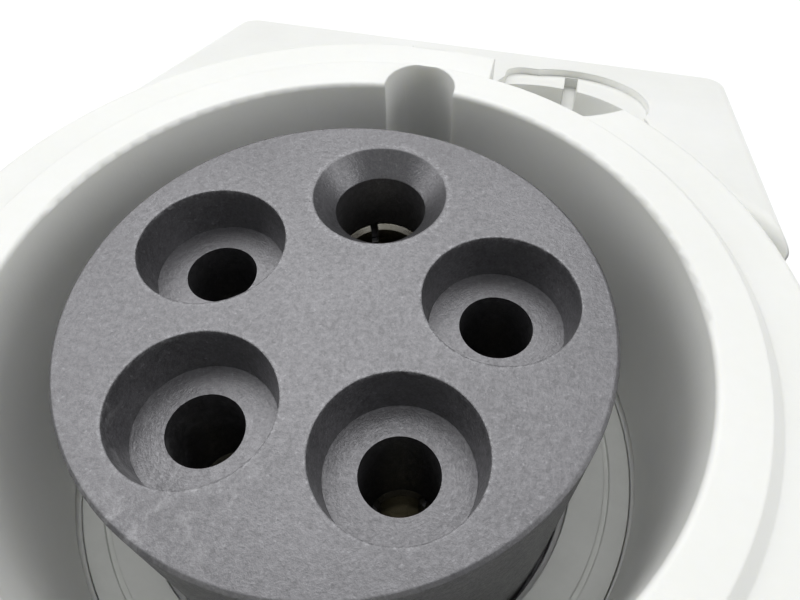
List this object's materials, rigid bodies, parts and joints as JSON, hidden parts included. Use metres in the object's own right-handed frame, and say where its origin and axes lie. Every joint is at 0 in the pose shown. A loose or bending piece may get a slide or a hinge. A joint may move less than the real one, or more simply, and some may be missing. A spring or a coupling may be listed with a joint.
{
  "type": "power inlet box",
  "caption": "Surface-mounted round keyed power socket box with sloping shoulder, hinged flap lid and cable gland.",
  "frame": {"origin": "on the flat back, under the axis of the round plug collar", "axes": "+Z out of the wall along the collar axis, +Y towards the keyway and cable gland, -Y towards the lid hinge"},
  "size_m": [0.089, 0.1922, 0.1601],
  "materials": {
    "grey_housing": "fine moulded satin",
    "black_insulator": "grained moulded matt",
    "contact_metal": "dull nickel over brass",
    "screw_steel": "zinc plated",
    "pale_seal": "matt soft",
    "dark_seal": "matt soft",
    "gland_grey": "satin nylon",
    "insert_brass": "turned"
  },
  "bodies": {
    "housing": {"rear_box": "grey_housing", "front_cover": "grey_housing", "box_gasket": "dark_seal", "plug_seal_ring": "pale_seal", "contact_carrier": "black_insulator", "carrier_core": "black_insulator", "carrier_barrel": "black_insulator", "carrier_base": "black_insulator", "carrier_back_plate": "black_insulator", "contact_line_1": "contact_metal", "contact_line_2": "contact_metal", "contact_line_3": "contact_metal", "contact_neutral": "contact_metal", "contact_earth": "contact_metal", "contact_spring_rings": "screw_steel", "terminal_screws": "screw_steel", "carrier_screws": "screw_steel", "cover_screws": "screw_steel", "cover_screw_seals": "dark_seal", "cover_screw_inserts": "insert_brass", "wall_hole_seals": "dark_seal", "gland_body": "gland_grey", "gland_washer": "dark_seal", "gland_seal": "dark_seal", "gland_nut": "gland_grey", "gland_locknut": "gland_grey", "blanking_plug": "gland_grey", "blanking_washer": "dark_seal", "blanking_locknut": "gland_grey", "lid_hinge_pin": "screw_steel"},
    "lid": {"lid": "grey_housing", "lid_gasket": "pale_seal"}
  },
  "joints": [
    {"name": "lid_hinge", "type": "hinge", "parent": "housing", "child": "lid", "pos_m": [0, -0.048, 0.072], "axis": [1, 0, 0], "range_deg": [-115, 0]}
  ]
}
